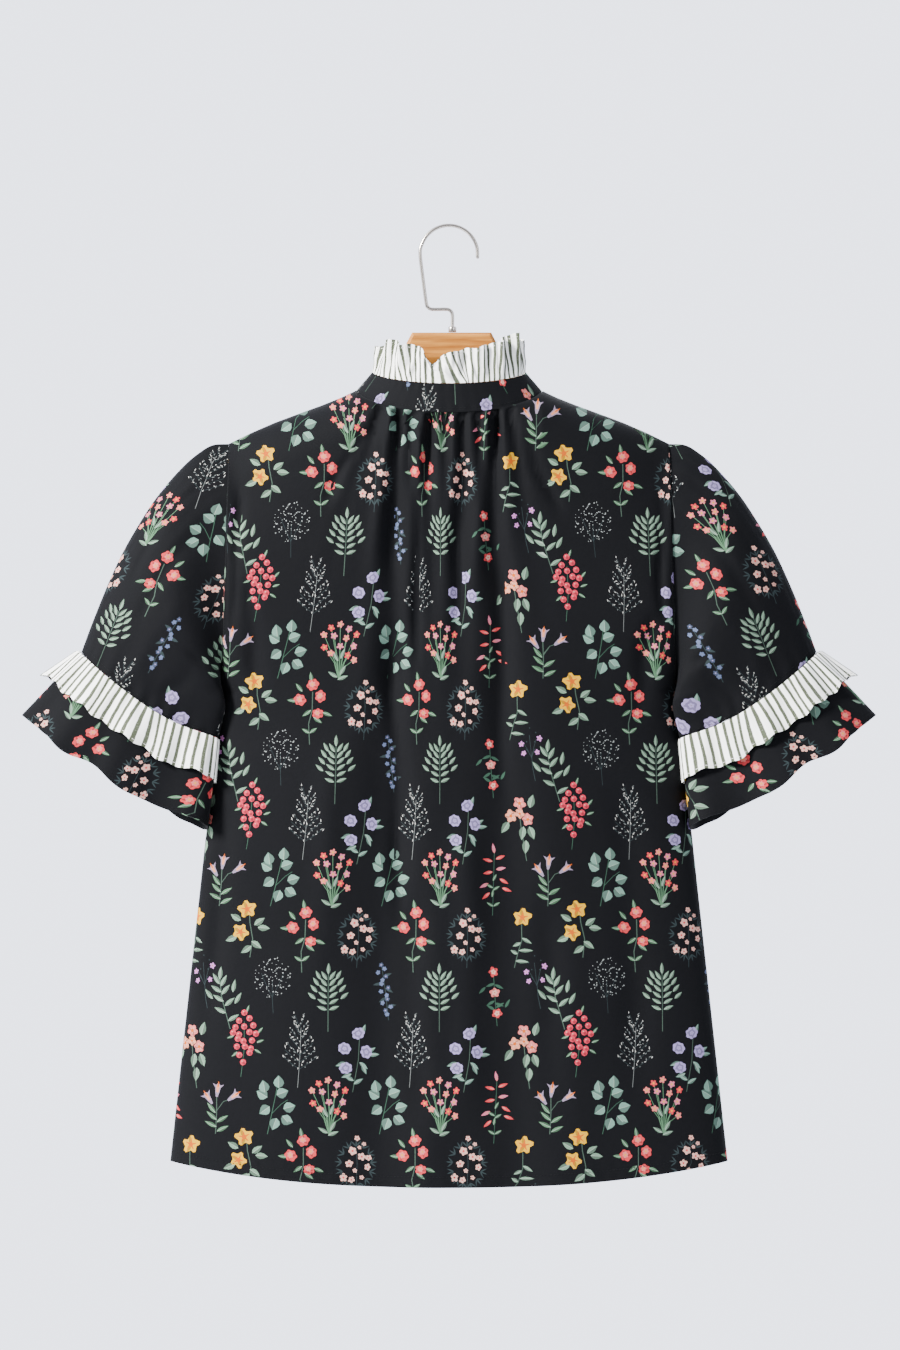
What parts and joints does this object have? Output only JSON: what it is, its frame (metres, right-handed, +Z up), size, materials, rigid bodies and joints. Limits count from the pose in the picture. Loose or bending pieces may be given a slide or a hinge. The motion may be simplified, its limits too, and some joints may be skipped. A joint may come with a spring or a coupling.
{
  "type": "short-sleeved blouse on a hanger",
  "caption": "Short-sleeved blouse with a frilled stand collar, a gathered neck and flounced cuffs, hanging on a flat wooden hanger with a wire hook.",
  "frame": {"origin": "inside top of the hook, where a rail carries the hanger", "axes": "+Z up, +Y from the blouse's back to its front, +X to the right as the back is looked at"},
  "size_m": [0.7446, 0.0853, 0.8392],
  "materials": {
    "floral_cloth": "fine cotton, black with a small printed flower repeat",
    "striped_cloth": "white cotton with thin olive stripes",
    "button": "polished",
    "wood": "satin lacquered beech",
    "hook_metal": "satin nickel"
  },
  "bodies": {
    "root": {"back": "floral_cloth", "front_right": "floral_cloth", "front_left": "floral_cloth", "placket": "floral_cloth", "collar_band": "floral_cloth", "collar_frill": "striped_cloth", "sleeve_left": "floral_cloth", "sleeve_right": "floral_cloth", "flounce_left": "floral_cloth", "flounce_right": "floral_cloth", "cuff_frill_left": "striped_cloth", "cuff_frill_right": "striped_cloth", "button_1": "button", "button_2": "button", "button_3": "button", "button_4": "button", "button_5": "button", "button_6": "button", "button_7": "button", "hanger_wood": "wood", "hook_wire": "hook_metal", "hook_ferrule": "hook_metal"}
  },
  "joints": []
}
